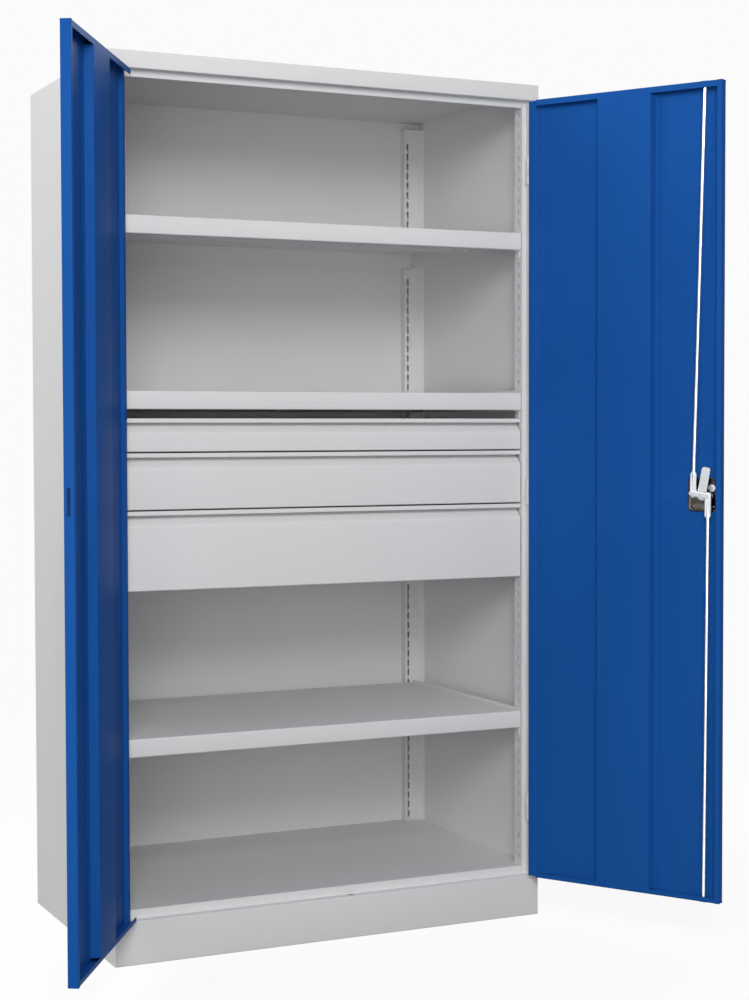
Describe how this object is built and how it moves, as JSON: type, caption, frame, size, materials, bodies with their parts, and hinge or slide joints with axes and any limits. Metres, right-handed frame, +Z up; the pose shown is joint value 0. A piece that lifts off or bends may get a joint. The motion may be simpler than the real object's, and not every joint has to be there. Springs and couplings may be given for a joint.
{
  "type": "storage cabinet",
  "caption": "Sheet-steel storage cabinet with two hinged doors, a rod lock with a swinging tongue, adjustable shelves on perforated posts and a stack of drawers on roller runners.",
  "frame": {"origin": "centre of the cabinet body's base, on the floor", "axes": "+Z up; the open front faces -Y; +X to the right as seen from the front"},
  "size_m": [1.5144, 1.0578, 1.95],
  "materials": {
    "body_paint": "light grey fine-textured powder coat",
    "door_paint": "gentian blue powder coat",
    "tray_paint": "light grey powder coat",
    "lock_chrome": "bright plated steel",
    "rod_zinc": "bright zinc plate",
    "hinge_steel": "zinc plate",
    "handle_plastic": "black glass-filled nylon",
    "roller_nylon": "white nylon",
    "runner_zinc": "galvanised sheet"
  },
  "bodies": {
    "cabinet": {"side_panel_left": "body_paint", "side_panel_right": "body_paint", "back_panel": "body_paint", "roof_cap": "body_paint", "plinth": "body_paint", "floor_plate": "body_paint", "front_post_left": "body_paint", "front_post_right": "body_paint", "rear_post_left": "body_paint", "rear_post_right": "body_paint", "shelf_top": "body_paint", "shelf_middle": "body_paint", "shelf_bottom": "body_paint", "shelf_clips_top": "runner_zinc", "shelf_clips_middle": "runner_zinc", "shelf_clips_bottom": "runner_zinc", "hinge_leaves_left_frame": "hinge_steel", "hinge_leaves_right_frame": "hinge_steel", "hinge_pins_left": "hinge_steel", "hinge_pins_right": "hinge_steel", "drawer_1_runners": "runner_zinc", "drawer_2_runners": "runner_zinc", "drawer_3_runners": "runner_zinc"},
    "right_door": {"door_right_pan": "door_paint", "door_right_stiffener": "door_paint", "hinge_leaves_right_door": "hinge_steel", "lock_case": "lock_chrome", "lock_case_screws": "lock_chrome", "handle_escutcheon": "handle_plastic"},
    "left_door": {"door_left_pan": "door_paint", "door_left_stiffener": "door_paint", "hinge_leaves_left_door": "hinge_steel"},
    "lock_turn": {"lock_cam": "lock_chrome", "lock_tongue": "lock_chrome", "lock_spindle": "lock_chrome", "cam_screw": "lock_chrome", "handle": "handle_plastic"},
    "rod_up": {"upper_rod": "rod_zinc"},
    "rod_down": {"lower_rod": "rod_zinc"},
    "key": {"key_cylinder": "lock_chrome"},
    "drawer_1": {"drawer_1_front": "body_paint", "drawer_1_tray": "tray_paint", "drawer_1_rails": "runner_zinc"},
    "front_rollers_1": {"drawer_1_front_rollers": "roller_nylon"},
    "rear_rollers_1": {"drawer_1_rear_rollers": "roller_nylon"},
    "drawer_2": {"drawer_2_front": "body_paint", "drawer_2_tray": "tray_paint", "drawer_2_rails": "runner_zinc"},
    "front_rollers_2": {"drawer_2_front_rollers": "roller_nylon"},
    "rear_rollers_2": {"drawer_2_rear_rollers": "roller_nylon"},
    "drawer_3": {"drawer_3_front": "body_paint", "drawer_3_tray": "tray_paint", "drawer_3_rails": "runner_zinc"},
    "front_rollers_3": {"drawer_3_front_rollers": "roller_nylon"},
    "rear_rollers_3": {"drawer_3_rear_rollers": "roller_nylon"}
  },
  "joints": [
    {"name": "right_door_hinge", "type": "hinge", "parent": "cabinet", "child": "right_door", "pos_m": [0.4935, -0.3125, 0], "axis": [0, 0, 1], "range_deg": [-121, 0]},
    {"name": "left_door_hinge", "type": "hinge", "parent": "cabinet", "child": "left_door", "pos_m": [-0.4935, -0.3125, 0], "axis": [0, 0, -1], "range_deg": [-121, 0]},
    {"name": "lock_handle_turn", "type": "hinge", "parent": "right_door", "child": "lock_turn", "pos_m": [0.7214, -0.6918, 1.0025], "axis": [-0.8572, -0.515, 0], "range_deg": [-82, 0]},
    {"name": "upper_rod_pivot", "type": "hinge", "parent": "lock_turn", "child": "rod_up", "pos_m": [0.69937, -0.68424, 1.005], "axis": [-0.8572, -0.515, 0], "range_deg": [0, 83.6]},
    {"name": "lower_rod_pivot", "type": "hinge", "parent": "lock_turn", "child": "rod_down", "pos_m": [0.71773, -0.7148, 0.99999], "axis": [-0.8572, -0.515, 0], "range_deg": [0, 83.6]},
    {"name": "key_turn", "type": "hinge", "parent": "lock_turn", "child": "key", "pos_m": [0.74712, -0.67634, 1.0025], "axis": [-0.8572, -0.515, 0], "range_deg": [0, 90]},
    {"name": "drawer_1_slide", "type": "slide", "parent": "cabinet", "child": "drawer_1", "axis": [0, -1, 0], "range_m": [0, 0.45]},
    {"name": "front_rollers_1_spin", "type": "hinge", "parent": "cabinet", "child": "front_rollers_1", "pos_m": [0, -0.2725, 1.1136], "axis": [1, 0, 0], "range_deg": [0, 3034]},
    {"name": "rear_rollers_1_spin", "type": "hinge", "parent": "drawer_1", "child": "rear_rollers_1", "pos_m": [0, 0.262, 1.1136], "axis": [1, 0, 0], "range_deg": [0, 3034]},
    {"name": "drawer_2_slide", "type": "slide", "parent": "cabinet", "child": "drawer_2", "axis": [0, -1, 0], "range_m": [0, 0.45]},
    {"name": "front_rollers_2_spin", "type": "hinge", "parent": "cabinet", "child": "front_rollers_2", "pos_m": [0, -0.2725, 0.9886], "axis": [1, 0, 0], "range_deg": [0, 3034]},
    {"name": "rear_rollers_2_spin", "type": "hinge", "parent": "drawer_2", "child": "rear_rollers_2", "pos_m": [0, 0.262, 0.9886], "axis": [1, 0, 0], "range_deg": [0, 3034]},
    {"name": "drawer_3_slide", "type": "slide", "parent": "cabinet", "child": "drawer_3", "axis": [0, -1, 0], "range_m": [0, 0.45]},
    {"name": "front_rollers_3_spin", "type": "hinge", "parent": "cabinet", "child": "front_rollers_3", "pos_m": [0, -0.2725, 0.8136], "axis": [1, 0, 0], "range_deg": [0, 3034]},
    {"name": "rear_rollers_3_spin", "type": "hinge", "parent": "drawer_3", "child": "rear_rollers_3", "pos_m": [0, 0.262, 0.8136], "axis": [1, 0, 0], "range_deg": [0, 3034]}
  ],
  "couplings": [
    {"joint": "upper_rod_pivot", "follows": "lock_handle_turn", "ratio": -1.0137},
    {"joint": "lower_rod_pivot", "follows": "lock_handle_turn", "ratio": -1.014},
    {"joint": "front_rollers_1_spin", "follows": "drawer_1_slide", "rad_per_m": 117.65},
    {"joint": "rear_rollers_1_spin", "follows": "drawer_1_slide", "rad_per_m": 117.65},
    {"joint": "front_rollers_2_spin", "follows": "drawer_2_slide", "rad_per_m": 117.65},
    {"joint": "rear_rollers_2_spin", "follows": "drawer_2_slide", "rad_per_m": 117.65},
    {"joint": "front_rollers_3_spin", "follows": "drawer_3_slide", "rad_per_m": 117.65},
    {"joint": "rear_rollers_3_spin", "follows": "drawer_3_slide", "rad_per_m": 117.65}
  ]
}
